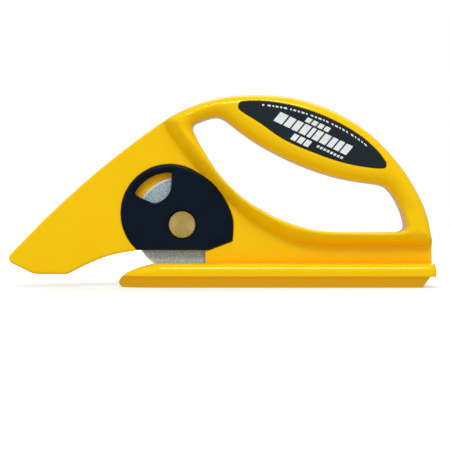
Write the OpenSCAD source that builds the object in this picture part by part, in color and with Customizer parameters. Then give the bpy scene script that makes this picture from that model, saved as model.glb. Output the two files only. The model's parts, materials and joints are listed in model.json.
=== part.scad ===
/* [Blade] */
// Diameter of the round blade
blade_d = 45; // [44.5:0.1:45.2]
// Thickness of the blade
blade_t = 0.3; // [0.25:0.05:0.35]
// Diameter of the hole in the blade
blade_bore = 8; // [7.95:0.01:8.05]
// Width of the ground edge
blade_grind = 1.1; // [0.8:0.1:1.5]

/* [Pivot] */
// Diameter of the bolt head
bolt_head_d = 12.2; // [11.5:0.1:12.6]
// Diameter of the bolt shank
bolt_d = 5.9; // [5.6:0.1:5.9]
// Width of the shank across its two flats
bolt_flats = 5; // [4.6:0.1:5.2]
// Diameter of the thumb nut
nut_d = 16; // [14:0.5:17]
// Height of the thumb nut
nut_h = 4.2; // [3.5:0.1:4.4]

/* [Lid] */
// How far the lid's face stands in front of the middle plane
lid_face = 4.2; // [3.8:0.1:4.6]
// Thickness of the lid's plate
lid_t = 3; // [2.6:0.1:3.2]
// Gap between the lid and its opening
lid_gap = 0.15; // [0.1:0.05:0.25]

/* [Body] */
// Thickness of each half of the flat nose and web
panel_t = 3; // [2.8:0.1:3.2]
// Thickness of each half of the handle frame
frame_t = 10; // [9:0.5:10.5]
// Wall thickness of the hollow handle
wall = 2.4; // [2:0.1:2.6]
// Depth of the pocket that the blade turns in, in each half
pocket = 0.6; // [0.5:0.05:0.7]
// Depth of the seat for the label plate
label_seat = 0.8; // [0.6:0.1:1]
// Thickness of the label plate
label_t = 0.6; // [0.4:0.1:0.7]

/* [Base] */
// Half of the base's width
base_half_w = 12; // [11.5:0.1:12.5]
// Height of the base's flat top
base_top = 11; // [10.8:0.1:11.4]
// Height of the joint between the shells and the shoe
shoe_top = 5; // [4.6:0.1:5.2]
// Radius of the base's rounded upper edge
base_round = 3.6; // [2.5:0.1:4]

/* [Screws] */
// Shank diameter of every screw
screw_d = 2.6; // [2.4:0.1:2.8]
// Head diameter of every screw
screw_head_d = 4.6; // [4.2:0.1:4.8]

/* [Hidden] */
$fn = 64;
eps = 0.01;
clear = 0.05;

// The bolt's axis runs along Y through this point, given as [x, z].
pivot = [-18.1, 28.8];
blade_r = blade_d / 2;
pocket_r = blade_r + 0.5;
web_r = blade_r - 1.1;
length_half = 98.4;

// Stack along the bolt, counted in y from the middle plane towards the back.
head_h = 1.8;
head_seat = -2.6;
hub_back = -0.35;
washer_seat = 1.4;
boss_back = 5;
boss_r = 9;
wave_recess_r = 8;
hub_r = 7;
head_room_r = bolt_head_d / 2 + 0.5;
key_washer_r = 7.5;
key_washer_t = 1;
nut_front = boss_back + key_washer_t;
bolt_end = nut_front + nut_h - 0.3;

// Screw places in the handle frame, in the nose and in the base.
handle_screw_at = [[-18.5, 73], [18, 70.6], [80.3, 49.6], [91, 26], [40, 23.3], [-6.5, 54.6]];
nose_screw_at = [[-74, 22], [-48, 46]];
shoe_screw_at = [for (x = [-24, 36, 88]) for (y = [-6.4, 6.4]) [x, y]];
screw_head_h = 1.6;
screw_hole_d = screw_d + 0.4;
screw_head_hole_d = screw_head_d + 0.4;
screw_blind_d = screw_d + 2 * clear;
screw_post_d = screw_d + 2.8;
handle_seat = 6;
nose_seat = 1.4;
shoe_seat = 2.1;
handle_screw_l = 12;
nose_screw_l = 3.5;
shoe_blind = base_top - 1;
shoe_screw_l = shoe_blind - shoe_seat - 0.3;

// A smooth curve through a list of points, with its own tangent at each one.
function between(a, b, c, d, t) = 0.5 * (2 * b + (c - a) * t + (2 * a - 5 * b + 4 * c - d) * t * t
    + (3 * b - a - 3 * c + d) * t * t * t);
function curve(p, steps = 5) = [for (i = [0 : len(p) - 2]) for (s = [0 : steps - 1])
    between(p[max(i - 1, 0)], p[i], p[i + 1], p[min(i + 2, len(p) - 1)], s / steps)];
function arc(centre, r, from, to, steps = 8) = [for (s = [0 : steps])
    centre + r * [cos(from + (to - from) * s / steps), sin(from + (to - from) * s / steps)]];

// Side outline of both halves, clockwise from the nose tip.
nose_tip = arc([-95.7, 13.3], 2.7, 245, 135);
back_line = curve([[-95.1, 17.9], [-80.2, 32.8], [-61.6, 49.8], [-43.1, 64.8], [-24.5, 78], [-9.6, 84.8],
    [1.5, 87.7], [14, 88.6], [27.5, 88.1], [38.7, 86], [49.8, 82.1], [60.9, 76.2], [72.1, 67.6],
    [83.2, 55.1], [90.7, 43.1], [94.9, 33], [97.6, 21.2]]);
web_front = arc(pivot, web_r, 236.3, 213.5);
throat = curve([[-38.6, 17], [-50.3, 14.9], [-57.8, 12.4], [-65.2, 9.1], [-71.5, 5.9]]);
nose_sole = [[-71.5, 5.9], [-84.4, 5.9], [-87.4, 6.3]];
body_line = concat(nose_tip, back_line, [[97.6, 21.2], [97.6, 8], [-30, 8]], web_front, throat, nose_sole);

// The finger opening, clockwise from its upper front end.
opening_line = concat(
    curve([[-13.3, 73.1], [-12.4, 75.3], [-9.7, 76.6], [-5.7, 78], [-2, 78.6], [1.5, 77.4]]),
    curve([[1.5, 77.4], [16.4, 66.5], [35.3, 56.8], [53.9, 50.5], [70.9, 47.6]]),
    curve([[70.9, 47.6], [74.4, 46.9], [77, 45.3], [80.1, 41.4], [83.9, 33.9], [85.3, 28.8], [84.7, 26.6],
        [82.4, 25.5]]),
    curve([[82.4, 25.5], [64, 25.4], [46.6, 26], [35.4, 28.3], [24.1, 32.6], [12.8, 39.2], [5.3, 45.3],
        [-2.2, 53.7], [-9.8, 65.7], [-13.3, 73.1]]));

// The foot of the raised handle frame, closed round everything above and behind it.
crease_line = curve([[-28.5, 78.4], [-22.4, 68.6], [-11.8, 55.2], [7.8, 35.4], [17.2, 28.7], [30.4, 22.1],
    [43.8, 19.3], [56, 18.7], [110, 18.7]]);
frame_line = concat(crease_line, [[110, 18.7], [110, 110], [-28.5, 110]]);

// The lid: one round lobe, an easy curve behind it, and two straight lower edges.
lobe = [-23.8, 34.1];
lobe_r = blade_r + 0.1;
lid_foot = 17;
lobe_start = 180 + asin((lobe[1] - lid_foot) / lobe_r);
lobe_end = 60.6;
lid_line = concat(arc(lobe, lobe_r, lobe_start, lobe_end, 24),
    curve([[-12.6, 53.8], [-4.1, 48], [1.7, 40.2], [5.3, 31.2], [5.1, 21.3]]),
    [[5.1, 21.3], [-6.3, lid_foot]]);
window_line = concat(arc(lobe, 18.9, 150, 89, 10),
    curve([[-22.8, 52.4], [-22.9, 50], [-23.6, 44.4], [-26, 41], [-30.2, 38.8], [-34.1, 39.9],
        [-39.4, 42.4]]));

// The gap in front of the blade's lowest part, between the lid's foot and the base.
blade_gap_x = [-38.6, -7.3];

// The label plate, a leaning lens on each side of the grip.
label_line = concat(
    curve([[7.9, 83.2], [9.8, 85.1], [20.4, 85.2], [34.2, 82.8], [49, 77.6], [62.3, 70.3], [71.1, 62.8],
        [75.4, 57.1]]),
    curve([[75.4, 57.1], [74.1, 54.6], [62.3, 55.8], [49.2, 59.3], [30.1, 67.1], [17.9, 75.3], [8.9, 81],
        [7.9, 83.2]]));

// The same points on the other side of y = 0, in the opposite order and without the two ends.
function other_side(p) = [for (i = [len(p) - 2 : -1 : 1]) [p[i][0], -p[i][1]]];

// The base: side outline, half of the plan, and half of the section.
toe_tip = arc([-45, 2.4], 2.4, 180, 270, 5);
toe_line = curve([[-28, base_top], [-35.5, 9.7], [-42.9, 7], [-46.4, 4.2], [-47.4, 2.4]]);
base_side = concat(toe_line, toe_tip, [[92.2, 0], [95.4, shoe_top], [length_half, shoe_top]],
    arc([length_half - 1, base_top - 1], 1, 0, 90));
shoe_side = concat(toe_line, toe_tip, [[92.2, 0], [95.4, shoe_top], [95.4, base_top]]);
base_plan = concat([[-47.6, 0]], curve([[-47.5, 3], [-44.5, 7.4], [-38, 10.6], [-28, base_half_w],
    [-20, base_half_w]]), arc([length_half - 3, base_half_w - 3], 3, 90, 0), [[length_half, 0]]);
base_back = -60;
base_long = 170;
base_section = concat([[0, shoe_top], [base_half_w, shoe_top]],
    arc([base_half_w - base_round, base_top - base_round], base_round, 0, 90), [[0, base_top]]);
shoe_section = [[-11.4, shoe_top], [-10.2, 0.8], [-9.4, 0], [9.4, 0], [10.2, 0.8], [11.4, shoe_top]];

// A side-view shape made solid between two places along y.
module slab(from, to) {
    translate([0, to, 0]) rotate([90, 0, 0]) linear_extrude(height = to - from) children();
}

// A round bar along y, from one place to another, about the bolt's axis.
module pivot_bar(r, from, to) {
    translate([pivot[0], to, pivot[1]]) rotate([90, 0, 0]) cylinder(r = r, h = to - from);
}

// The same bar with two flats, as on the bolt's shank.
module keyed_bar(r, flats, from, to) {
    intersection() {
        pivot_bar(r, from, to);
        translate([pivot[0] - flats / 2, from - 1, pivot[1] - r - 1]) cube([flats, to - from + 2, 2 * r + 2]);
    }
}

module body_shape() {
    difference() {
        polygon(body_line);
        polygon(opening_line);
    }
}

module frame_shape() {
    intersection() {
        body_shape();
        polygon(frame_line);
    }
}

module lid_opening_shape() {
    offset(delta = lid_gap) polygon(lid_line);
}

module at_handle_screws() {
    for (p = handle_screw_at) translate(p) children();
}

module at_nose_screws() {
    for (p = nose_screw_at) translate(p) children();
}

// A section of the base drawn out along its length.
module along_base() {
    translate([base_back, 0, 0]) rotate([90, 0, 90]) linear_extrude(height = base_long) children();
}

// Half of the base flange, on the side of negative y.
module flange_half() {
    intersection() {
        slab(-base_half_w, 0) polygon(base_side);
        mirror([0, 1, 0]) linear_extrude(height = base_top) polygon(base_plan);
        mirror([0, 1, 0]) along_base() polygon(base_section);
    }
}

// What the two halves share, on the side of negative y.
module half_body() {
    edge_step = 2;
    edge_inset = 1.6;
    difference() {
        union() {
            slab(-panel_t, 0) body_shape();
            slab(-frame_t + edge_step, 0) frame_shape();
            slab(-frame_t, -frame_t + edge_step) offset(delta = -edge_inset) frame_shape();
            flange_half();
        }
        difference() {
            slab(-frame_t + wall, eps) offset(r = 1) offset(r = -wall - 1) frame_shape();
            slab(-frame_t, 0) at_handle_screws() circle(d = screw_post_d);
        }
        slab(-frame_t - 1, -frame_t + label_seat) offset(delta = lid_gap) polygon(label_line);
        pivot_bar(pocket_r, -pocket, eps);
        for (p = shoe_screw_at) {
            translate([p[0], p[1], 0]) cylinder(d = screw_blind_d, h = shoe_blind);
        }
    }
}

module front_shell() {
    blind = 6.4;
    nose_blind = 2.3;
    color("gold") difference() {
        half_body();
        slab(-panel_t - 2, eps) lid_opening_shape();
        slab(-panel_t - 1, 1) translate([blade_gap_x[0], base_top])
            square([blade_gap_x[1] - blade_gap_x[0], lid_foot + 0.4 - base_top]);
        slab(-blind, eps) at_handle_screws() circle(d = screw_blind_d);
        slab(-nose_blind, eps) at_nose_screws() circle(d = screw_blind_d);
    }
}

module rear_shell() {
    color("gold") difference() {
        union() {
            mirror([0, 1, 0]) half_body();
            pivot_bar(boss_r, panel_t, boss_back);
        }
        slab(-eps, pocket) lid_opening_shape();
        pivot_bar(wave_recess_r, -eps, washer_seat);
        keyed_bar(bolt_d / 2 + clear, bolt_flats + 2 * clear, washer_seat - eps, boss_back + eps);
        slab(-eps, frame_t + 1) at_handle_screws() circle(d = screw_hole_d);
        slab(handle_seat, frame_t + 1) at_handle_screws() circle(d = screw_head_hole_d);
        slab(-eps, panel_t + 1) at_nose_screws() circle(d = screw_hole_d);
        slab(nose_seat, panel_t + 1) at_nose_screws() circle(d = screw_head_hole_d);
    }
}

module base_shoe() {
    color("goldenrod") difference() {
        intersection() {
            slab(-base_half_w, base_half_w) polygon(shoe_side);
            linear_extrude(height = shoe_top) polygon(concat(base_plan, other_side(base_plan)));
            along_base() polygon(shoe_section);
        }
        for (p = shoe_screw_at) {
            translate([p[0], p[1], -1]) cylinder(d = screw_hole_d, h = shoe_top + 2);
            translate([p[0], p[1], -1]) cylinder(d = screw_head_hole_d, h = shoe_seat + 1);
        }
    }
}

module blade() {
    half = blade_t / 2;
    edge = 0.02;
    color("silver") translate([pivot[0], 0, pivot[1]]) rotate([90, 0, 0]) rotate_extrude($fn = 128)
        polygon([[blade_bore / 2, -half], [blade_r - blade_grind, -half], [blade_r, -edge], [blade_r, edge],
            [blade_r - blade_grind, half], [blade_bore / 2, half]]);
}

module blade_bush() {
    color("goldenrod") difference() {
        pivot_bar(blade_bore / 2 - clear, hub_back, washer_seat);
        pivot_bar(bolt_d / 2 + clear, hub_back - 1, washer_seat + 1);
    }
}

// A thin ring that waves three times round, between the blade and the web.
module wave_washer() {
    around = 72;
    inner = 4.3;
    outer = 7.4;
    thick = 0.3;
    wave = 0.36;
    middle = 0.79;
    rise = function (a) middle + wave * cos(3 * a);
    ring = [for (i = [0 : around - 1]) let (a = 360 * i / around, c = cos(a), s = sin(a), y = rise(a))
        each [[inner * c, y, inner * s], [outer * c, y, outer * s], [outer * c, y + thick, outer * s],
            [inner * c, y + thick, inner * s]]];
    sides = [for (i = [0 : around - 1]) for (k = [0 : 3]) let (j = (i + 1) % around, m = (k + 1) % 4)
        each [[4 * i + k, 4 * i + m, 4 * j + m], [4 * i + k, 4 * j + m, 4 * j + k]]];
    color("lightsteelblue") translate([pivot[0], -thick / 2, pivot[1]])
        polyhedron(points = ring, faces = sides);
}

module blade_lid() {
    plate_back = lid_t - lid_face;
    bevel_depth = 1.4;
    bevel_r = 20.3;
    bevel_inner_r = 18;
    color("midnightblue") difference() {
        union() {
            slab(-lid_face, plate_back) polygon(lid_line);
            pivot_bar(hub_r, plate_back, hub_back);
            slab(plate_back, pocket) difference() {
                intersection() {
                    polygon(lid_line);
                    translate([-60, 20]) square([46, 50]);
                }
                translate(pivot) circle(r = pocket_r + 0.3, $fn = 96);
            }
        }
        pivot_bar(head_room_r, -lid_face - 1, head_seat);
        pivot_bar(bolt_d / 2 + clear, -lid_face - 1, 1);
        slab(-lid_face - 1, 2) polygon(window_line);
        slab(-lid_face - 1, -lid_face + bevel_depth) intersection() {
            offset(delta = 1.2) polygon(window_line);
            translate(lobe) difference() {
                circle(r = bevel_r, $fn = 96);
                circle(r = bevel_inner_r, $fn = 96);
            }
        }
    }
}

module pivot_bolt() {
    head_r = bolt_head_d / 2;
    bevel = 0.4;
    bevel_at = head_seat - head_h + bevel;
    dimple_r = 0.6;
    dimple_h = 0.5;
    color("darkgoldenrod") difference() {
        union() {
            pivot_bar(head_r, bevel_at, head_seat);
            translate([pivot[0], bevel_at, pivot[1]]) rotate([90, 0, 0])
                cylinder(r1 = head_r, r2 = head_r - bevel, h = bevel);
            pivot_bar(bolt_d / 2, head_seat - eps, washer_seat);
            keyed_bar(bolt_d / 2, bolt_flats, washer_seat - eps, nut_front + eps);
            pivot_bar(bolt_d / 2, nut_front, bolt_end);
        }
        translate([pivot[0], head_seat - head_h + dimple_h, pivot[1]]) rotate([90, 0, 0])
            cylinder(r1 = 0.05, r2 = dimple_r, h = dimple_h + eps);
    }
}

module keyed_washer() {
    color("silver") difference() {
        pivot_bar(key_washer_r, boss_back, nut_front);
        keyed_bar(bolt_d / 2 + clear, bolt_flats + 2 * clear, boss_back - 1, nut_front + 1);
    }
}

// A thumb nut with a scalloped rim.
module pivot_nut() {
    scallops = 18;
    scallop_r = 1;
    scallop_at = nut_d / 2 + 0.5;
    color("darkgoldenrod") difference() {
        pivot_bar(nut_d / 2, nut_front, nut_front + nut_h);
        pivot_bar(bolt_d / 2 + clear, nut_front - 1, nut_front + nut_h + 1);
        translate([pivot[0], 0, pivot[1]]) for (i = [0 : scallops - 1]) rotate([0, i * 360 / scallops, 0])
            translate([scallop_at, nut_front + nut_h + 1, 0]) rotate([90, 0, 0])
                cylinder(r = scallop_r, h = nut_h);
    }
}

module front_label() {
    seat = -frame_t + label_seat;
    color("darkslategray") slab(seat - label_t, seat) polygon(label_line);
}

module rear_label() {
    seat = frame_t - label_seat;
    color("darkslategray") slab(seat, seat + label_t) polygon(label_line);
}

// A cross-head screw whose head rests at z = 0 and whose shank points up.
module screw(shank) {
    slot_l = 2.6;
    slot_w = 0.6;
    slot_h = 0.9;
    difference() {
        union() {
            cylinder(d = screw_d, h = shank);
            translate([0, 0, -screw_head_h]) cylinder(d = screw_head_d, h = screw_head_h);
        }
        for (turn = [0, 90]) rotate([0, 0, turn]) translate([-slot_l / 2, -slot_w / 2, -screw_head_h - 1])
            cube([slot_l, slot_w, slot_h + 1]);
    }
}

module handle_screws() {
    color("dimgray") for (p = handle_screw_at) translate([p[0], handle_seat, p[1]]) rotate([90, 0, 0])
        screw(handle_screw_l);
}

module nose_screws() {
    color("dimgray") for (p = nose_screw_at) translate([p[0], nose_seat, p[1]]) rotate([90, 0, 0])
        screw(nose_screw_l);
}

module shoe_screws() {
    color("dimgray") for (p = shoe_screw_at) translate([p[0], p[1], shoe_seat]) screw(shoe_screw_l);
}

front_shell();
rear_shell();
base_shoe();
blade();
blade_bush();
wave_washer();
blade_lid();
pivot_bolt();
keyed_washer();
pivot_nut();
front_label();
rear_label();
handle_screws();
nose_screws();
shoe_screws();
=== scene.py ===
import json
import math

import bpy
import numpy as np
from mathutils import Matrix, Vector
from mathutils.geometry import delaunay_2d_cdt


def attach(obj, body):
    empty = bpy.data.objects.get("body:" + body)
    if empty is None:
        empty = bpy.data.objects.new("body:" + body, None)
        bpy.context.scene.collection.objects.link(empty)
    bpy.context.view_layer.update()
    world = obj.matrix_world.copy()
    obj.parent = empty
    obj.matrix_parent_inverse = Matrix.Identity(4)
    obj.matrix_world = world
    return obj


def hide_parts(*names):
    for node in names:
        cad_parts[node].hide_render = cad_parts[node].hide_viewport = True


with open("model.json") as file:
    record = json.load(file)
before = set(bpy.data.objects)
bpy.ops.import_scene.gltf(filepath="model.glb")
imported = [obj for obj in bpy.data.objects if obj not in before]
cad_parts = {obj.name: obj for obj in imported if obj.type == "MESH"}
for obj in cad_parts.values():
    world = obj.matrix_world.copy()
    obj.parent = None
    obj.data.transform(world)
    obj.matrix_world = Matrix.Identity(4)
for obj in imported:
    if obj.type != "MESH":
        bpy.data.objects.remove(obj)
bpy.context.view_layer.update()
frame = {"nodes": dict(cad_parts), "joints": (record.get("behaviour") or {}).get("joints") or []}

# Shapes are worked out in millimetres. Meshes, materials, lights and the camera are in metres.
MM = 0.001

# ---- Driving sizes, the same as the design's ----
PIVOT = 1000 * np.array(frame["joints"][0]["pos_m"])[[0, 2]]
BLADE_R = 22.5
POCKET_R = BLADE_R + 0.5
WEB_R = BLADE_R - 1.1
PANEL = 3.0
FRAME_T = 10.0
POCKET = 0.6
LABEL_SEAT = 0.8
LABEL_T = 0.6
LID_FACE = 4.2
LID_BACK = 1.2
LID_GAP = 0.15
LABEL_FACE = FRAME_T - LABEL_SEAT + LABEL_T
BOLT_BORE_R = 3.0
HEAD_ROOM_R = 6.6
HEAD_SEAT = 2.6
BASE_TOP = 11.0
SHOE_TOP = 5.0
BASE_HALF_W = 12.0
BASE_ROUND = 3.6
TAIL_R = 1.0
TAIL_CORNER_R = 3.0
HALF_LENGTH = 98.4
BOSS_R, BOSS_BACK = 9.0, 5.0
HANDLE_SCREWS = [(-18.5, 73), (18, 70.6), (80.3, 49.6), (91, 26), (40, 23.3), (-6.5, 54.6)]
NOSE_SCREWS = [(-74, 22), (-48, 46)]
SCREW_HOLE_R = 2.5
HANDLE_SEAT = 6.0
NOSE_SEAT = 1.4


# ---- Outlines ----
def curve(points, steps=8):
    """Points along a smooth curve through the given ones, without the last."""
    p = np.array(points, float)
    out = []
    for i in range(len(p) - 1):
        a, b, c, d = p[max(i - 1, 0)], p[i], p[i + 1], p[min(i + 2, len(p) - 1)]
        for t in np.arange(steps) / steps:
            bend, twist = 2 * a - 5 * b + 4 * c - d, 3 * b - a - 3 * c + d
            out.append(0.5 * (2 * b + (c - a) * t + bend * t**2 + twist * t**3))
    return out


def arc(centre, r, start, end, steps=24):
    """Points along an arc from one angle to another, in degrees."""
    a = np.radians(np.linspace(start, end, steps + 1))
    return list(np.array(centre) + r * np.stack([np.cos(a), np.sin(a)], 1))


def circle(centre, r, steps=72):
    return arc(centre, r, 0, 360, steps)[:-1]


def even(loop, gap, corner=25):
    """The closed outline with evenly spaced points, its corners kept."""
    p = np.array(loop, float)
    p = p[np.linalg.norm(p - np.roll(p, 1, 0), axis=1) > 0.01]
    before, after = p - np.roll(p, 1, 0), np.roll(p, -1, 0) - p
    cross = before[:, 0] * after[:, 1] - before[:, 1] * after[:, 0]
    turn = np.abs(np.arctan2(cross, (before * after).sum(1)))
    corners = list(np.nonzero(turn > math.radians(corner))[0]) or [0]
    out = []
    for k, first in enumerate(corners):
        last = corners[(k + 1) % len(corners)]
        last += len(p) if last <= first else 0
        part = p[np.arange(first, last + 1) % len(p)]
        s = np.r_[0, np.cumsum(np.linalg.norm(np.diff(part, axis=0), axis=1))]
        at = np.linspace(0, s[-1], max(1, round(s[-1] / gap)) + 1)[:-1]
        out.append(np.stack([np.interp(at, s, part[:, 0]), np.interp(at, s, part[:, 1])], 1))
    return np.concatenate(out)


def area(loop):
    """The outline's area, positive if it runs counter-clockwise."""
    nxt = np.roll(loop, -1, 0)
    return 0.5 * float((loop[:, 0] * nxt[:, 1] - loop[:, 1] * nxt[:, 0]).sum())


def inside(p, loop):
    """Which of the points p lie inside the outline."""
    odd = np.zeros(len(p), bool)
    for a, b in zip(loop, np.roll(loop, -1, 0)):
        if a[1] != b[1]:
            crosses = (a[1] > p[:, 1]) != (b[1] > p[:, 1])
            odd ^= crosses & (p[:, 0] < a[0] + (p[:, 1] - a[1]) * (b[0] - a[0]) / (b[1] - a[1]))
    return odd


def distance(p, line, closed=True):
    """How far each of the points p is from the line."""
    line = np.asarray(line, float)
    ends = np.roll(line, -1, 0) if closed else line[1:]
    best = np.full(len(p), 1e9)
    for a, b in zip(line, ends):
        ab = b - a
        t = np.clip(((p - a) @ ab) / max(float(ab @ ab), 1e-12), 0, 1)
        best = np.minimum(best, np.hypot(*(p - a - t[:, None] * ab).T))
    return best


def shifted(loop, d, closed=True):
    """The outline moved by d towards its own inside (or to the left, if open)."""
    loop = np.asarray(loop, float)
    ahead, behind = np.roll(loop, -1, 0), np.roll(loop, 1, 0)
    if not closed:
        ahead[-1], behind[0] = loop[-1], loop[0]
    run = ahead - behind
    run /= np.maximum(np.linalg.norm(run, axis=1), 1e-9)[:, None]
    sign = 1.0 if not closed or area(loop) > 0 else -1.0
    return loop + sign * d * np.stack([-run[:, 1], run[:, 0]], 1)


NOSE_TIP = arc((-95.7, 13.3), 2.7, 245, 135)
BACK = curve([(-95.1, 17.9), (-80.2, 32.8), (-61.6, 49.8), (-43.1, 64.8), (-24.5, 78), (-9.6, 84.8),
              (1.5, 87.7), (14, 88.6), (27.5, 88.1), (38.7, 86), (49.8, 82.1), (60.9, 76.2), (72.1, 67.6),
              (83.2, 55.1), (90.7, 43.1), (94.9, 33), (97.6, 21.2)])
WEB_FRONT = arc(PIVOT, WEB_R, 236.3, 213.5)
THROAT = curve([(-38.6, 17), (-50.3, 14.9), (-57.8, 12.4), (-65.2, 9.1), (-71.5, 5.9)])
SOLE = [(-71.5, 5.9), (-84.4, 5.9), (-87.4, 6.3)]
OPENING = (curve([(-13.3, 73.1), (-12.4, 75.3), (-9.7, 76.6), (-5.7, 78), (-2, 78.6), (1.5, 77.4)])
           + curve([(1.5, 77.4), (16.4, 66.5), (35.3, 56.8), (53.9, 50.5), (70.9, 47.6)])
           + curve([(70.9, 47.6), (74.4, 46.9), (77, 45.3), (80.1, 41.4), (83.9, 33.9), (85.3, 28.8),
                    (84.7, 26.6), (82.4, 25.5)])
           + curve([(82.4, 25.5), (64, 25.4), (46.6, 26), (35.4, 28.3), (24.1, 32.6), (12.8, 39.2),
                    (5.3, 45.3), (-2.2, 53.7), (-9.8, 65.7), (-13.3, 73.1)]))
CREASE = curve([(-32, 84.5), (-28.5, 78.4), (-22.4, 68.6), (-11.8, 55.2), (7.8, 35.4), (17.2, 28.7),
                (30.4, 22.1), (43.8, 19.3), (56, 18.7), (110, 18.7)])
LOBE, LOBE_R, LID_FOOT = np.array((-23.8, 34.1)), BLADE_R + 0.1, 17.0
LOBE_LOW = 180 + math.degrees(math.asin((LOBE[1] - LID_FOOT) / LOBE_R))
LID = (arc(LOBE, LOBE_R, LOBE_LOW, 60.6, 90)
       + curve([(-12.6, 53.8), (-4.1, 48), (1.7, 40.2), (5.3, 31.2), (5.1, 21.3)])
       + [(5.1, 21.3), (-6.3, LID_FOOT)])
WINDOW = (arc(LOBE, 18.9, 150, 89)
          + curve([(-22.8, 52.4), (-22.9, 50), (-23.6, 44.4), (-26, 41), (-30.2, 38.8), (-34.1, 39.9),
                   (-39.4, 42.4)]))
LABEL = (curve([(7.9, 83.2), (9.8, 85.1), (20.4, 85.2), (34.2, 82.8), (49, 77.6), (62.3, 70.3),
                (71.1, 62.8), (75.4, 57.1)])
         + curve([(75.4, 57.1), (74.1, 54.6), (62.3, 55.8), (49.2, 59.3), (30.1, 67.1), (17.9, 75.3),
                  (8.9, 81), (7.9, 83.2)]))

# The web's straight back edge runs down into the base's flange.
WEB_BACK = [(97.6, 21.2), (97.6, 8)]
BLADE_GAP = (-7.3, 8.0)

# Spacing of the points along the outlines, and the width of a step between two heights.
GAP = 1.0
STEP = 0.03
REAR_OUTLINE = even(NOSE_TIP + BACK + WEB_BACK + [(-30, 8)] + WEB_FRONT + THROAT + SOLE, GAP)
OPENING = even(OPENING, GAP, 60)
LID = even(LID, 0.8)
WINDOW = even(WINDOW, 0.6, 60)
LABEL = even(LABEL, GAP, 60)
CREASE = np.array(CREASE)
LID_OPENING = shifted(LID, -LID_GAP)


def front_outline():
    """The front shell's outline runs up the blade gap and back round the lid's opening."""
    ring = LID_OPENING if area(LID_OPENING) < 0 else LID_OPENING[::-1]
    start = int(np.argmin(np.hypot(*(ring - LID_OPENING[0]).T)))
    ring = np.roll(ring, -start, 0)
    clockwise = ring[ring[:, 1] > LID_FOOT - LID_GAP + 0.02]
    low_left = clockwise[np.argmin(np.hypot(*(clockwise - (-39, LID_FOOT)).T))]
    at = int(np.argmin(np.hypot(*(clockwise - low_left).T)))
    round_lid = np.roll(clockwise, -at, 0)[::-1]
    edge = WEB_BACK + [BLADE_GAP, (BLADE_GAP[0], LID_FOOT - LID_GAP)]
    return even(NOSE_TIP + BACK + edge + list(round_lid) + THROAT + SOLE, GAP)


FRONT_OUTLINE = front_outline()


# ---- Double surfaces: one triangulation with a height on each of its two sides ----
def steps_of(r, count=5):
    """Distances from an edge at which an edge of radius r turns by equal angles."""
    return [r * (1 - math.cos(math.radians(90 * k / count))) for k in range(1, count + 1)]


class Plan:
    """The outline, the holes and the inner lines of a piece seen from the side."""

    def __init__(self, outline, holes=()):
        self.loops = [np.asarray(outline)] + [np.asarray(h) for h in holes]
        self.points = []
        self.edges = []
        self.used = 0
        for loop in self.loops:
            self.add(loop, True)

    def add(self, line, closed, keep=None):
        """Take in a line's kept points, and the edges between neighbours that are both kept."""
        keep = np.ones(len(line), bool) if keep is None else keep
        number = np.full(len(line), -1)
        number[keep] = self.used + np.arange(keep.sum())
        self.points.append(line[keep])
        self.used += int(keep.sum())
        for i in range(len(line) if closed else len(line) - 1):
            a, b = number[i], number[(i + 1) % len(line)]
            if a >= 0 and b >= 0:
                self.edges.append((int(a), int(b)))

    def holds(self, p):
        """Which of the points p are in the piece, not in its holes."""
        ok = inside(p, self.loops[0])
        for hole in self.loops[1:]:
            ok &= ~inside(p, hole)
        return ok

    def room(self, p):
        """How far each of the points p is from the nearest outline."""
        return np.min([distance(p, loop) for loop in self.loops], 0)

    def rings(self, which, steps):
        """Lines that follow one of the outlines at each of the distances, on the piece's side."""
        loop = self.loops[which]
        for d in steps:
            ring = shifted(loop, d if which == 0 else -d)
            keep = self.holds(ring)
            keep &= self.room(ring) > 0.97 * d
            self.add(ring, True, keep)

    def line(self, line, closed=True):
        """A line inside the piece where its height changes."""
        line = np.asarray(line)
        self.add(line, closed, self.holds(line) & (self.room(line) > 0.03))

    def lattice(self, gap, clear):
        """Fill what is left with staggered points, away from the outlines and the points there are."""
        low, high = self.loops[0].min(0), self.loops[0].max(0)
        rows = np.arange(low[1], high[1], gap * 0.866)
        cols = np.arange(low[0], high[0], gap)
        p = np.array([(x + (k % 2) * gap / 2, z) for k, z in enumerate(rows) for x in cols])
        p = p[self.holds(p)]
        p = p[self.room(p) > clear]
        cell = gap * 0.45
        taken = set(map(tuple, np.round(np.concatenate(self.points) / cell).astype(int)))
        keep = np.array([tuple(c) not in taken for c in np.round(p / cell).astype(int)])
        self.points.append(p[keep])
        self.used += int(keep.sum())

    def triangles(self):
        """Points and counter-clockwise triangles that fill the piece."""
        flat = [Vector(p) for p in np.concatenate(self.points)]
        verts, _, faces = delaunay_2d_cdt(flat, self.edges, [], 0, 1e-5, False)[:3]
        verts = np.array([tuple(v) for v in verts])
        faces = np.array(faces)
        middle = verts[faces].mean(1)
        faces = faces[self.holds(middle)]
        a, b, c = verts[faces[:, 0]], verts[faces[:, 1]], verts[faces[:, 2]]
        turn = (b - a)[:, 0] * (c - a)[:, 1] - (b - a)[:, 1] * (c - a)[:, 0]
        faces = faces[np.abs(turn) > 1e-9]
        turn = turn[np.abs(turn) > 1e-9]
        faces[turn < 0] = faces[turn < 0][:, ::-1]
        used = np.unique(faces)
        back = np.full(len(verts), -1)
        back[used] = np.arange(len(used))
        return verts[used], back[faces]


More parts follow.
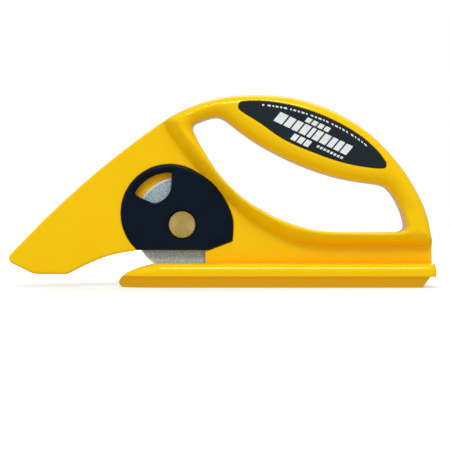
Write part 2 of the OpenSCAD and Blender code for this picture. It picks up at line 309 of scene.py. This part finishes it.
def mesh_object(name, verts, faces, sharp=35):
    """An object from points in millimetres, smooth except where faces meet at over sharp degrees."""
    mesh = bpy.data.meshes.new(name)
    points = [tuple(v) for v in np.asarray(verts) * MM]
    mesh.from_pydata(points, [], [tuple(int(i) for i in f) for f in faces])
    mesh.validate()
    mesh.shade_smooth()
    mesh.set_sharp_from_angle(angle=math.radians(sharp))
    piece = bpy.data.objects.new(name, mesh)
    bpy.context.scene.collection.objects.link(piece)
    return piece


def double_surface(plan, outer, inner, side):
    """Points and faces of a solid between two heights over one plan: side -1 is in front, +1 at the back."""
    p, tris = plan.triangles()
    n = len(p)
    top = np.stack([p[:, 0], side * outer(p), p[:, 1]], 1)
    bottom = np.stack([p[:, 0], side * inner(p), p[:, 1]], 1)
    edges = {}
    for t in tris:
        for a, b in ((t[0], t[1]), (t[1], t[2]), (t[2], t[0])):
            edges[(int(a), int(b))] = True
    rim = [(a, b) for a, b in edges if (b, a) not in edges]
    # Seen along +Y, x runs right and z up, so a counter-clockwise face looks at the viewer, towards -Y.
    outer_faces = tris if side < 0 else tris[:, ::-1]
    inner_faces = (tris[:, ::-1] if side < 0 else tris) + n
    walls = [(b, a, a + n, b + n) if side < 0 else (a, b, b + n, a + n) for a, b in rim]
    faces = [tuple(f) for f in outer_faces] + [tuple(f) for f in inner_faces] + walls
    return np.concatenate([top, bottom]), faces


def round_edge(d, r):
    """How far an edge rounded to r falls at distance d from it: r at the edge, 0 from r inwards."""
    return r - np.sqrt(np.maximum(0, r * r - np.maximum(0, r - np.maximum(d, 0)) ** 2))


def crease_side(p):
    """Signed distance from the crease: positive on the handle's side."""
    d = distance(p, CREASE, False)
    handle_side = np.concatenate([CREASE, [(110, 110), (-32, 110)]])
    return np.where(inside(p, handle_side), d, -d)


# How far in from each edge the handle frame's rounding reaches, and how the roundings blend.
FRAME_RISE = FRAME_T - PANEL
PLATE_ROUND = 1.0
CREASE_POWER, CREASE_SOFT = 1.7, 0.3
OUTER_ROUND, CREASE_ROUND = 4.6, 7.0
GRIP_ROUND, RAIL_ROUND = 7.0, 2.3
BLEND = 2.6


def opening_round(p):
    """The rounding round the finger opening: wide under the grip, tight along the rail below it."""
    above = p[:, 1] - (66 - (p[:, 0] + 12) * 0.354)
    t = np.clip((above + 2) / 8, 0, 1)
    return RAIL_ROUND + (GRIP_ROUND - RAIL_ROUND) * t * t * (3 - 2 * t)


def quarter_round(d, reach):
    """How much height an edge lacks at distance d from it: 1 at the edge, 0 from reach inwards."""
    return 1 - np.sqrt(1 - (1 - np.clip(d / reach, 0, 1)) ** 2)


def body_height(p):
    """Half thickness of the body: thin nose and web, thick rounded handle frame, label seat."""
    d_out = distance(p, REAR_OUTLINE)
    d_open = distance(p, OPENING)
    s = crease_side(p)
    soft = (s + np.sqrt(s * s + CREASE_SOFT**2)) / 2
    plate = PANEL - round_edge(d_out, PLATE_ROUND)
    lack_crease = (1 - np.clip(soft / CREASE_ROUND, 0, 1)) ** CREASE_POWER
    lack_out = 0.86 * quarter_round(d_out, OUTER_ROUND)
    reach = opening_round(p)
    lack_open = (0.3 + 0.08 * reach) * quarter_round(d_open, reach)
    lack = (lack_crease**BLEND + lack_out**BLEND + lack_open**BLEND) ** (1 / BLEND)
    rise = FRAME_RISE * np.clip(1 - lack, 0, 1)
    h = plate + np.where(s > -3, rise, 0)
    d_label = distance(p, LABEL)
    in_seat = inside(p, LABEL) | (d_label < LID_GAP - 0.01)
    return np.where(in_seat, FRAME_T - LABEL_SEAT, h - round_edge(d_label - LID_GAP, 0.3))


def common_plan(outline):
    """What both shells share: rings in from each outline, lines beside the crease, and the label seat."""
    plan = Plan(outline, [OPENING])
    plan.rings(0, [0.12] + steps_of(PLATE_ROUND, 4)[1:] + [1.6, 2.4, 3.4, 4.6])
    plan.rings(1, [0.06, 0.2, 0.45, 0.8, 1.25, 1.8, 2.4, 3.2, 4.2, 5.4])
    for d in (-0.8, -0.4, -0.15, 0, 0.15, 0.4, 0.8, 1.5, 2.4, 3.5, 4.8, 6.2):
        plan.line(even_line(shifted(CREASE, d, False), GAP), False)
    for d in (-LID_GAP + 0.02, -LID_GAP, -LID_GAP - 0.12, -LID_GAP - 0.3):
        plan.line(shifted(LABEL, d))
    return plan


def even_line(line, gap):
    """The open line with evenly spaced points."""
    s = np.r_[0, np.cumsum(np.linalg.norm(np.diff(line, axis=0), axis=1))]
    at = np.linspace(0, s[-1], round(s[-1] / gap) + 1)
    return np.stack([np.interp(at, s, line[:, 0]), np.interp(at, s, line[:, 1])], 1)


TOE_TIP = (-47.4, 2.4)
TOE_PLAN = np.array([(-47.6, 0)] + curve([(-47.5, 3), (-44.5, 7.4), (-38, 10.6), (-28, BASE_HALF_W),
                                          (-20, BASE_HALF_W)]))
TOE_RISE = curve([(-28, BASE_TOP), (-35.5, 9.7), (-42.9, 7), (-46.4, 4.2), TOE_TIP]) + [TOE_TIP]
TOE_SIDE = np.array(TOE_RISE)[::-1]


def round_end(x, size, r):
    """What is left of a size near the base's back end, where it is rounded to r."""
    return size - r + math.sqrt(max(0, r**2 - (x - HALF_LENGTH + r) ** 2))


def base_profile(x):
    """Half width and top of the base at a place along its length."""
    width = min(BASE_HALF_W, float(np.interp(x, TOE_PLAN[:, 0], TOE_PLAN[:, 1], right=BASE_HALF_W)))
    top = float(np.interp(x, TOE_SIDE[:, 0], TOE_SIDE[:, 1], right=BASE_TOP))
    if x > HALF_LENGTH - TAIL_CORNER_R:
        width = round_end(x, BASE_HALF_W, TAIL_CORNER_R)
    if x > HALF_LENGTH - TAIL_R:
        top = round_end(x, BASE_TOP, TAIL_R)
    return width, top


def flange_section(x):
    """One half of the flange's section: out along the bottom, round the edge, and in over the slot."""
    width, top = base_profile(x)
    top = max(top, SHOE_TOP + 0.02)
    r = min(BASE_ROUND, 0.85 * (top - SHOE_TOP), 0.7 * width)
    reach = POCKET_R**2 - (x - PIVOT[0]) ** 2
    slot = PIVOT[1] - math.sqrt(reach) if reach > 0 else 1e9
    low = min(0.25, 0.4 * (top - SHOE_TOP))
    section = [(0, SHOE_TOP), (width - low, SHOE_TOP), (width, SHOE_TOP + low)]
    section += [tuple(q) for q in arc((width - r, top - r), r, 0, 90, 9)]
    cut = POCKET if slot < top else 0.0
    section += [(cut, top), (cut, min(slot, top)), (0, min(slot, top))]
    return section


def loft(sections):
    """A closed solid through sections with equal numbers of points, capped at both ends."""
    count = len(sections[0])
    verts = [q for s in sections for q in s]
    faces = []
    for i in range(len(sections) - 1):
        for k in range(count):
            m = (k + 1) % count
            a, b = i * count, (i + 1) * count
            faces.append((a + k, b + k, b + m, a + m))
    faces.append(tuple(range(count)))
    faces.append(tuple((len(sections) - 1) * count + k for k in reversed(range(count))))
    return verts, faces


def flange(side):
    """Half of the base's flange, with sections close together at the toe, the tail and the blade's slot."""
    toe = -45.4
    bow = [toe + 17.4 * (k / 24) ** 1.6 for k in range(25)]
    turns = [math.sin(math.radians(90 * k / 10)) for k in range(11)]
    tail = [HALF_LENGTH - TAIL_CORNER_R + TAIL_CORNER_R * t for t in turns]
    reach = math.sqrt(POCKET_R**2 - (PIVOT[1] - BASE_TOP) ** 2)
    slot = [PIVOT[0] + reach * math.cos(math.radians(180 - 180 * k / 36)) for k in range(37)]
    edges = [PIVOT[0] - reach - 0.01, PIVOT[0] + reach + 0.01]
    xs = sorted(set(round(x, 4) for x in bow + tail + slot + edges + list(np.linspace(2, 92, 19))))
    sections = [[(x, side * y, z) for y, z in flange_section(x)] for x in xs]
    verts, faces = loft(sections)
    return verts, faces if side > 0 else [f[::-1] for f in faces]


def joined(*parts):
    """Several sets of points and faces as one."""
    verts, faces = [], []
    for v, f in parts:
        start = len(verts)
        verts += [tuple(q) for q in v]
        faces += [tuple(i + start for i in t) for t in f]
    return verts, faces


def front_shell():
    """The front half of the body, open where the lid goes and in front of the blade."""
    plan = common_plan(FRONT_OUTLINE)
    plan.line(np.array(circle(PIVOT, POCKET_R, 96)))
    plan.line(np.array(circle(PIVOT, POCKET_R + STEP, 96)))
    plan.lattice(1.5, 1.2)

    def outer(p):
        h = body_height(p)
        d_lid = distance(p, LID_OPENING)
        return h - round_edge(d_lid, 0.35) * (h < PANEL + 0.3)

    def inner(p):
        seam = np.maximum(0, 0.12 - plan.room(p))
        behind = np.hypot(*(p - PIVOT).T) < POCKET_R + 0.01
        return np.where(behind, POCKET, seam)

    shell = double_surface(plan, outer, inner, -1)
    return mesh_object("shell_front", *joined(shell, flange(-1)))


def rear_shell():
    """The rear half of the body, with the nut's boss and the screws' counterbores."""
    plan = common_plan(REAR_OUTLINE)
    seats = [(q, HANDLE_SEAT) for q in HANDLE_SCREWS] + [(q, NOSE_SEAT) for q in NOSE_SCREWS]
    for r in (BOSS_R, BOSS_R - 0.15, BOSS_R - 0.4, BOSS_R - 0.8, BOSS_R + STEP, BOSS_R + 0.4):
        plan.line(np.array(circle(PIVOT, r, 72)))
    for at, _ in seats:
        for r in (SCREW_HOLE_R - 0.02, SCREW_HOLE_R, SCREW_HOLE_R + 0.15, SCREW_HOLE_R + 0.35):
            plan.line(np.array(circle(at, r, 36)))
    plan.line(LID_OPENING)
    plan.line(shifted(LID_OPENING, -STEP))
    plan.line(np.array(circle(PIVOT, POCKET_R, 96)))
    plan.line(np.array(circle(PIVOT, POCKET_R + STEP, 96)))
    plan.lattice(1.5, 1.2)

    def outer(p):
        h = body_height(p)
        r = np.hypot(*(p - PIVOT).T)
        boss = BOSS_BACK - round_edge(BOSS_R - r, 0.6)
        h = np.where(r < BOSS_R + 0.01, np.maximum(h, boss), h)
        for at, seat in seats:
            r = np.hypot(*(p - at).T)
            rim = round_edge(r - SCREW_HOLE_R, 0.3) * (r < SCREW_HOLE_R + 0.3)
            h = np.where(r < SCREW_HOLE_R - 0.01, seat, h - rim)
        return h

    def inner(p):
        seam = np.maximum(0, 0.12 - plan.room(p))
        in_pocket = inside(p, LID_OPENING) | (np.hypot(*(p - PIVOT).T) < POCKET_R + 0.01)
        return np.where(in_pocket, POCKET, seam)

    shell = double_surface(plan, outer, inner, 1)
    return mesh_object("shell_rear", *joined(shell, flange(1)))


def shoe():
    """The runner: a flat sole with raked sides, a turned-up toe and a raked tail."""
    toe_x, toe_r = -45, 2.4
    set_in, side_rake, tail_rake = 0.6, 2.2, 3.2

    def section(x, rake=0.0):
        width, top = base_profile(x)
        top = min(top, SHOE_TOP)
        low = toe_r - math.sqrt(max(0, toe_r**2 - (x - toe_x) ** 2)) if x < toe_x else 0.0
        wide = max(width - set_in, 0.3)
        narrow = max(wide - side_rake * (top - low) / SHOE_TOP, 0.2)
        r = min(0.8, 0.4 * (top - low), 0.5 * narrow)
        half = [(wide, top), (narrow + 0.25 * (wide - narrow), low + 0.25 * (top - low) + 0.1)]
        half += [tuple(q) for q in arc((narrow - r, low + r), r, -10, -90, 5)]
        points = half + [(-y, z) for y, z in reversed(half)]
        return [(x + rake * z / SHOE_TOP, y, z) for y, z in points]

    bow = [-47.38 + 19.4 * (k / 24) ** 2 for k in range(25)]
    xs = bow + list(np.linspace(-20, 88, 19))
    sections = [section(x) for x in xs] + [section(x, tail_rake) for x in (91.6, 92.0, 92.2)]
    verts, faces = loft(sections)
    return mesh_object("shoe", verts, [f[::-1] for f in faces])


def lid():
    """The lid: crowned, rounded at its rim, bevelled above the window, with room for the bolt's head."""
    edge_r = 1.1
    plan = Plan(LID, [WINDOW, even(circle(PIVOT, BOLT_BORE_R, 48), 0.4, 60)])
    plan.rings(0, steps_of(edge_r, 6))
    plan.rings(1, [0.1, 0.3, 0.6, 1.0, 1.5, 2.0, 2.2])
    for r in (HEAD_ROOM_R, HEAD_ROOM_R + STEP, HEAD_ROOM_R + 0.2, HEAD_ROOM_R + 0.4):
        plan.line(np.array(circle(PIVOT, r, 96)))
    for r in (POCKET_R + 0.3, POCKET_R + 0.33):
        plan.line(np.array(circle(PIVOT, r, 96)))
    for r in (20.2, 20.7, 20.9):
        plan.line(np.array(arc(LOBE, r, 160, 80, 60)), False)
    plan.lattice(1.4, 1.0)

    def outer(p):
        r = np.hypot(*(p - PIVOT).T)
        crown = 0.3 * np.clip(np.hypot(*(p - (-17, 34)).T) / 28, 0, 1) ** 2
        h = LID_FACE - crown - round_edge(distance(p, LID), edge_r)
        d = distance(p, WINDOW)
        lobe_r = np.hypot(*(p - LOBE).T)
        h = h - round_edge(d, 0.3)
        turn = np.degrees(np.arctan2(p[:, 1] - LOBE[1], p[:, 0] - LOBE[0]))
        span = np.clip((turn - 84.5) / 4, 0, 1) * np.clip((154.5 - turn) / 4, 0, 1)
        slope = np.clip((20.9 - lobe_r) / 1.9, 0, 1) * span * (d < 2.6) * (lobe_r > 18.7)
        h = np.minimum(h, LID_FACE - 1.7 * slope)
        h = h - round_edge(r - HEAD_ROOM_R - STEP, 0.35)
        return np.where(r < HEAD_ROOM_R + 0.01, HEAD_SEAT, h)

    def inner(p):
        r = np.hypot(*(p - PIVOT).T)
        foot = (r > POCKET_R + 0.31) & (p[:, 0] < -14) & (p[:, 1] > 20)
        return np.where(foot, -POCKET, LID_BACK)

    return mesh_object("lid", *double_surface(plan, outer, inner, -1))


def label_plate(side):
    """The dark plate let into the grip."""
    plan = Plan(LABEL)
    plan.rings(0, [0.05, 0.15, 0.35, 0.8])
    plan.lattice(2.5, 1.6)

    def outer(p):
        return LABEL_FACE - round_edge(distance(p, LABEL), 0.25)

    def inner(p):
        return np.full(len(p), FRAME_T - LABEL_SEAT)

    name = "label_front" if side < 0 else "label_rear"
    return mesh_object(name, *double_surface(plan, outer, inner, side))


# Plain printed marks in place of lettering: slanted bars in rows that lean with the lens.
MARK_LEAN = math.radians(-25.5)
MARK_CENTRE = np.array((43.5, 70.8))


def bar(at, width, height, slant=0.25):
    """Corners of a slanted bar, placed from the marks' centre along and across their lean."""
    along = np.array((math.cos(MARK_LEAN), math.sin(MARK_LEAN)))
    up = np.array((-along[1], along[0]))
    w, h = width / 2, height / 2
    corners = [(-w, -h), (w, -h), (w, h), (-w, h)]
    return [MARK_CENTRE + (at[0] + x + slant * y) * along + (at[1] + y) * up for x, y in corners]


def edge_dashes():
    """Small dashes along the label's upper edge."""
    top = LABEL[(LABEL[:, 1] > 66 - 0.45 * (LABEL[:, 0] - 60)) & (LABEL[:, 0] > 16) & (LABEL[:, 0] < 68)]
    top = even_line(top[np.argsort(top[:, 0])], 0.25)
    low, high = top - (0.6, 2.1), top - (0.6, 1.35)
    out, at = [], 6
    for k in range(27):
        size = (4, 6, 3, 5)[k % 4]
        if at + size >= len(top):
            break
        out.append([low[at], low[at + size], high[at + size], high[at]])
        at += size + (3 if k % 5 else 6)
    return out


def label_marks(side):
    """Thin raised blocks for the marks, half sunk into the plate."""
    widths = (4.2, 3.2, 3.0, 3.2, 1.8, 3.0, 3.2, 2.6, 2.6, 3.2)
    bars, at = [], -19.5
    for width in widths:
        bars.append(bar((at + width / 2, -0.9), width, 5.0))
        at += width + 0.75
    bars += [bar((-5.6 + 3.1 * k, 3.6), 2.4, 2.3) for k in range(4)]
    bars += [bar((-8.0 + 3.2 * k, -6.1), 2.5, 3.2) for k in range(3)]
    bars += [bar((3.4 + 1.7 * k, -5.3), 1.1, 1.1) for k in range(8)]
    bars += edge_dashes()
    ink = 0.02
    verts, faces = [], []
    for corners in bars:
        n = len(verts)
        for y in (side * (LABEL_FACE + ink), side * (LABEL_FACE - ink)):
            verts += [(q[0], y, q[1]) for q in corners]
        block = [(0, 1, 2, 3), (7, 6, 5, 4), (1, 0, 4, 5), (2, 1, 5, 6), (3, 2, 6, 7), (0, 3, 7, 4)]
        faces += [tuple(n + i for i in (f if side < 0 else f[::-1])) for f in block]
    return mesh_object("label_marks_front" if side < 0 else "label_marks_rear", verts, faces)


# ---- Materials ----
class Nodes:
    """A short way to write a node material."""

    def __init__(self, name):
        self.material = bpy.data.materials.new(name)
        self.material.use_nodes = True
        self.tree = self.material.node_tree
        self.shader = self.tree.nodes["Principled BSDF"]
        self.place = self.add("ShaderNodeTexCoord").outputs["Object"]

    def add(self, kind, **values):
        """A node with its sockets, or else its properties, set by name."""
        node = self.tree.nodes.new(kind)
        for key, value in values.items():
            if key in node.inputs:
                node.inputs[key].default_value = value
            else:
                setattr(node, key, value)
        return node

    def link(self, a, b):
        self.tree.links.new(a, b)

    def noise(self, scale, detail=4.0, roughness=0.55):
        node = self.add("ShaderNodeTexNoise", Scale=scale, Detail=detail, Roughness=roughness)
        self.link(self.place, node.inputs["Vector"])
        return node.outputs["Fac"]

    def ramp(self, source, low, high, start=0.3, end=0.7):
        """The source carried from start..end to low..high, and held there beyond."""
        node = self.add("ShaderNodeMapRange")
        self.link(source, node.inputs["Value"])
        node.inputs["From Min"].default_value, node.inputs["From Max"].default_value = start, end
        node.inputs["To Min"].default_value, node.inputs["To Max"].default_value = low, high
        return node.outputs["Result"]

    def mix(self, factor, a, b):
        """Two colours mixed; each is a socket or three numbers."""
        node = self.add("ShaderNodeMix", data_type="RGBA")
        self.link(factor, node.inputs["Factor"])
        colour_a, colour_b = 6, 7
        for socket, value in ((colour_a, a), (colour_b, b)):
            if isinstance(value, tuple):
                node.inputs[socket].default_value = (*value, 1.0)
            else:
                self.link(value, node.inputs[socket])
        return node.outputs[2]

    def bump(self, source, strength, depth, normal=None):
        node = self.add("ShaderNodeBump", Strength=strength, Distance=depth)
        self.link(source, node.inputs["Height"])
        if normal:
            self.link(normal, node.inputs["Normal"])
        return node.outputs["Normal"]

    def set(self, **values):
        """Set or link the shader's own sockets, and give the finished material."""
        for key, value in values.items():
            socket = self.shader.inputs[key.replace("_", " ")]
            if isinstance(value, bpy.types.NodeSocket):
                self.link(value, socket)
            else:
                socket.default_value = value
        return self.material


def yellow_plastic(name, light, deep, painted_hollow_shade, rough):
    """Glossy moulded plastic with painted shade: its colour deepens to orange in corners, creases and
    recesses, where ambient occlusion finds them.
    """
    n = Nodes(name)
    cloud = n.ramp(n.noise(45, 3), 0, 1)
    # Painted shade: ambient occlusion within 11 mm mixes the orange shade colour into corners and recesses.
    shade_occlusion = n.add("ShaderNodeAmbientOcclusion", samples=8, Distance=0.011)
    tint = n.ramp(shade_occlusion.outputs["AO"], 0, 1, 0.40, 0.98)
    colour = n.mix(tint, painted_hollow_shade, n.mix(cloud, light, deep))
    grain = n.bump(n.noise(5200, 2), 0.25, 0.00002)
    waves = n.bump(n.noise(180, 2), 0.12, 0.0001, grain)
    scuffs = n.ramp(n.noise(900, 6, 0.7), rough - 0.05, rough + 0.06)
    return n.set(Base_Color=colour, Roughness=scuffs, Normal=waves, Specular_IOR_Level=0.55,
                 Specular_Tint=(1.0, 0.98, 0.65, 1.0))


def dark_plastic(name):
    """Blue-black moulded plastic with a fine grain."""
    n = Nodes(name)
    colour = n.mix(n.ramp(n.noise(70, 3), 0, 1), (0.0020, 0.0072, 0.0190), (0.0034, 0.0100, 0.0235))
    grain = n.bump(n.noise(3800, 3), 0.35, 0.00003)
    return n.set(Base_Color=colour, Roughness=n.ramp(n.noise(600, 5, 0.7), 0.30, 0.40), Normal=grain,
                 Specular_IOR_Level=0.16)


def steel(name, light, dark, rough, speckle=1400):
    """Ground steel with fine specks."""
    n = Nodes(name)
    spots = n.ramp(n.noise(speckle, 3, 0.7), 0, 1, 0.35, 0.65)
    colour = n.mix(spots, dark, light)
    normal = n.bump(n.noise(speckle * 1.6, 2), 0.3, 0.00002)
    wear = n.ramp(n.noise(260, 4), rough - 0.05, rough + 0.08)
    return n.set(Base_Color=colour, Metallic=0.7, Roughness=wear, Normal=normal)


def radius_from_bolt(n):
    """Distance from the bolt's axis at each point of the surface."""
    move = n.add("ShaderNodeVectorMath", operation="SUBTRACT")
    n.link(n.place, move.inputs[0])
    move.inputs[1].default_value = (PIVOT[0] * MM, 0, PIVOT[1] * MM)
    flat = n.add("ShaderNodeVectorMath", operation="MULTIPLY")
    n.link(move.outputs[0], flat.inputs[0])
    flat.inputs[1].default_value = (1, 0, 1)
    length = n.add("ShaderNodeVectorMath", operation="LENGTH")
    n.link(flat.outputs[0], length.inputs[0])
    return length.outputs["Value"]


def rings_of(n, radius, pitch):
    """A wave, from -1 to 1, that repeats every pitch metres of radius."""
    turns, wave = n.add("ShaderNodeMath", operation="MULTIPLY"), n.add("ShaderNodeMath", operation="SINE")
    n.link(radius, turns.inputs[0])
    turns.inputs[1].default_value = 2 * math.pi / pitch
    n.link(turns.outputs[0], wave.inputs[0])
    return wave.outputs[0]


def blade_steel(name):
    """Speckled satin steel with faint grinding rings, and a ground edge of lighter steel that is painted
    near-white as a highlight.
    """
    n = Nodes(name)
    radius = radius_from_bolt(n)
    # Painted highlight: the ground edge is made near-white and less metallic, standing in for the light its
    # bevel catches as well as its brighter grinding.
    edge = n.ramp(radius, 0, 1, (BLADE_R - 1.0) * MM, (BLADE_R - 0.85) * MM)
    spots = n.ramp(n.noise(1500, 3, 0.75), 0, 1, 0.38, 0.62)
    face = n.mix(spots, (0.39, 0.54, 0.70), (0.81, 1.0, 1.0))
    grain = n.bump(n.noise(2400, 2), 0.35, 0.00002)
    normal = n.bump(rings_of(n, radius, 0.0011), 0.15, 0.00001, grain)
    colour = n.mix(edge, face, (0.92, 0.94, 0.95))
    return n.set(Base_Color=colour, Metallic=n.ramp(edge, 0.45, 0.3, 0, 1),
                 Roughness=n.ramp(edge, 0.38, 0.2, 0, 1), Normal=normal)


def turned_brass(name):
    """Brass with the rings of a lathe tool about the bolt's axis."""
    n = Nodes(name)
    radius = radius_from_bolt(n)
    cuts = rings_of(n, radius, 0.00105)
    coarse = n.bump(cuts, 0.8, 0.000022)
    normal = n.bump(rings_of(n, radius, 0.0004), 0.4, 0.00001, coarse)
    around = n.add("ShaderNodeTangent", direction_type="RADIAL", axis="Y")
    n.link(around.outputs[0], n.shader.inputs["Tangent"])
    plain = n.mix(n.ramp(n.noise(240, 4), 0, 1), (0.84, 0.60, 0.15), (0.98, 0.78, 0.30))
    colour = n.mix(n.ramp(cuts, 0, 0.4, -1, 1), plain, (0.70, 0.36, 0.10))
    wear = n.ramp(n.noise(500, 4), 0.26, 0.40)
    return n.set(Base_Color=colour, Metallic=0.6, Anisotropic=0.75, Roughness=wear, Normal=normal)


def label_print(name, colour, rough):
    """A printed colour, worn a little darker in places."""
    n = Nodes(name)
    worn = tuple(c * 0.8 + 0.004 for c in colour)
    shade = n.mix(n.ramp(n.noise(300, 5), 0, 1), colour, worn)
    gloss = n.ramp(n.noise(900, 4), rough, rough + 0.1)
    grain = n.bump(n.noise(2600, 2), 0.2, 0.00001)
    return n.set(Base_Color=shade, Specular_IOR_Level=0.2, Roughness=gloss, Normal=grain)


def dress(target, material):
    target.data.materials.clear()
    target.data.materials.append(material)


def make_pieces():
    """The Blender pieces, which stand in for the CAD nodes that they replace."""
    yellow = yellow_plastic("yellow_shell", light=(0.89, 0.575, 0.0006), deep=(0.87, 0.55, 0.0004),
                            painted_hollow_shade=(0.94, 0.45, 0.0002), rough=0.16)
    # Painted shade: the shoe gets a darker, more orange copy of the yellow for its sides that rake down under
    # the flange.
    shaded_yellow_shoe = yellow_plastic("yellow_shoe", light=(0.84, 0.50, 0.0006), deep=(0.81, 0.475, 0.0004),
                                painted_hollow_shade=(0.85, 0.425, 0.0002), rough=0.24)
    black = dark_plastic("dark_lid")
    slate = label_print("label_slate", (0.012, 0.024, 0.033), 0.36)
    white = label_print("label_white", (0.78, 0.85, 0.88), 0.45)
    made = [
        (front_shell(), yellow, ["front_shell"], "yellow_shell"),
        (rear_shell(), yellow, ["rear_shell"], "yellow_shell"),
        (shoe(), shaded_yellow_shoe, ["base_shoe"], "yellow_shoe"),
        (lid(), black, ["blade_lid"], "dark_lid"),
        (label_plate(-1), slate, ["front_label"], "label"),
        (label_plate(1), slate, ["rear_label"], "label"),
        (label_marks(-1), white, [], "label"),
        (label_marks(1), white, [], "label"),
    ]
    for piece, material, nodes, slot in made:
        dress(piece, material)
        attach(piece, "body")
        if nodes:
            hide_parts(*nodes)


def dress_cad_nodes():
    """Materials for the CAD nodes that show as they are."""
    blade = blade_steel("blade_steel")
    spring = steel("spring_steel", (0.56, 0.57, 0.59), (0.47, 0.48, 0.50), 0.30, 700)
    zinc = steel("screw_steel", (0.50, 0.51, 0.53), (0.40, 0.41, 0.43), 0.30, 900)
    brass = turned_brass("turned_brass")
    for material, nodes in ((blade, ["blade"]), (spring, ["wave_washer", "keyed_washer"]),
                            (brass, ["pivot_bolt", "blade_bush", "pivot_nut"]),
                            (zinc, ["handle_screws", "nose_screws", "shoe_screws"])):
        for node in nodes:
            dress(frame["nodes"][node], material)


# ---- Floor, light and camera ----
def stage():
    """A wide pale floor that glows, more strongly with distance: painted light that turns it white far off,
    so that no horizon shows.
    """
    bpy.ops.mesh.primitive_circle_add(vertices=96, radius=12.0, fill_type="NGON", location=(0, 0, -0.00002))
    floor = bpy.context.object
    floor.name = "floor"
    n = Nodes("pale_floor")
    far = n.add("ShaderNodeVectorMath", operation="LENGTH")
    n.link(n.place, far.inputs[0])
    # Painted light: the floor's emission climbs from 0.30 near the object to 1.0 from 0.7 m out.
    n.set(Base_Color=n.mix(n.noise(6, 2), (0.56, 0.615, 0.65), (0.58, 0.635, 0.67)), Roughness=0.9,
          Emission_Color=(1, 1, 1, 1), Emission_Strength=n.ramp(far.outputs["Value"], 0.30, 1.0, 0.16, 0.7))
    n.shader.inputs["Specular IOR Level"].default_value = 0.0
    floor.data.materials.append(n.material)
    floor.visible_diffuse = False
    floor.visible_glossy = False


def area_light(name, elevation, azimuth, far, size, watts, colour=(1, 1, 1)):
    """A softbox that looks at the object from a direction: azimuth 0 is from the front, 90 from the right."""
    e, a = math.radians(elevation), math.radians(azimuth)
    aim = Vector((0, 0, 0.04))
    at = aim + far * Vector((math.cos(e) * math.sin(a), -math.cos(e) * math.cos(a), math.sin(e)))
    data = bpy.data.lights.new(name, "AREA")
    data.shape = "RECTANGLE"
    data.size, data.size_y = size
    data.energy = watts
    data.color = colour
    lamp = bpy.data.objects.new(name, data)
    lamp.location = at
    lamp.rotation_mode = "QUATERNION"
    lamp.rotation_quaternion = (aim - at).to_track_quat("-Z", "Y")
    bpy.context.scene.collection.objects.link(lamp)


def light():
    """Two softboxes, and a world that differs for the camera, for reflections and for soft light."""
    area_light("key_above", 50, 3, 1.0, (0.54, 0.16), 4.3, (0.88, 1.0, 0.97))
    area_light("back_above", 48, 165, 1.1, (0.9, 0.5), 2.5)
    world = bpy.data.worlds.new("studio")
    bpy.context.scene.world = world
    world.use_nodes = True
    tree = world.node_tree
    place, split = tree.nodes.new("ShaderNodeTexCoord"), tree.nodes.new("ShaderNodeSeparateXYZ")
    tree.links.new(place.outputs["Generated"], split.inputs[0])
    path = tree.nodes.new("ShaderNodeLightPath")

    def background(colour, axis, start, end, low, high):
        """A world colour whose strength goes from low to high along a direction's axis."""
        node, level = tree.nodes.new("ShaderNodeBackground"), tree.nodes.new("ShaderNodeMapRange")
        tree.links.new(split.outputs[axis], level.inputs["Value"])
        for socket, value in (("From Min", start), ("From Max", end), ("To Min", low), ("To Max", high)):
            level.inputs[socket].default_value = value
        node.inputs["Color"].default_value = (*colour, 1)
        tree.links.new(level.outputs["Result"], node.inputs["Strength"])
        return node.outputs[0]

    def either(switch, no, yes):
        """One world for the rays that the switch names, another for the rest."""
        node = tree.nodes.new("ShaderNodeMixShader")
        tree.links.new(path.outputs[switch], node.inputs[0])
        tree.links.new(no, node.inputs[1])
        tree.links.new(yes, node.inputs[2])
        return node.outputs[0]

    soft = background((1.0, 0.91, 0.86), "Z", -0.6, 0.6, 0.75, 0.99)
    gloss = background((0.97, 0.99, 1.0), "Y", 0.3, 0.9, 0.04, 0.42)
    white = background((1, 1, 1), "Z", -0.6, 0.6, 1.0, 1.0)
    shown = either("Is Camera Ray", either("Is Glossy Ray", soft, gloss), white)
    tree.links.new(shown, tree.nodes["World Output"].inputs[0])
    bpy.context.scene.view_settings.view_transform = "Standard"


def camera():
    """A level camera at the front, far enough away for the long flat view."""
    data = bpy.data.cameras.new("camera")
    distance_to = 0.56
    width_seen = 0.2093
    data.lens = data.sensor_width * distance_to / width_seen
    data.clip_start, data.clip_end = 0.01, 50
    cam = bpy.data.objects.new("camera", data)
    cam.location = (0.00175, -distance_to, 0.02866)
    cam.rotation_euler = (math.radians(90), 0, 0)
    bpy.context.scene.collection.objects.link(cam)
    bpy.context.scene.camera = cam


camera()
light()
stage()
make_pieces()
dress_cad_nodes()
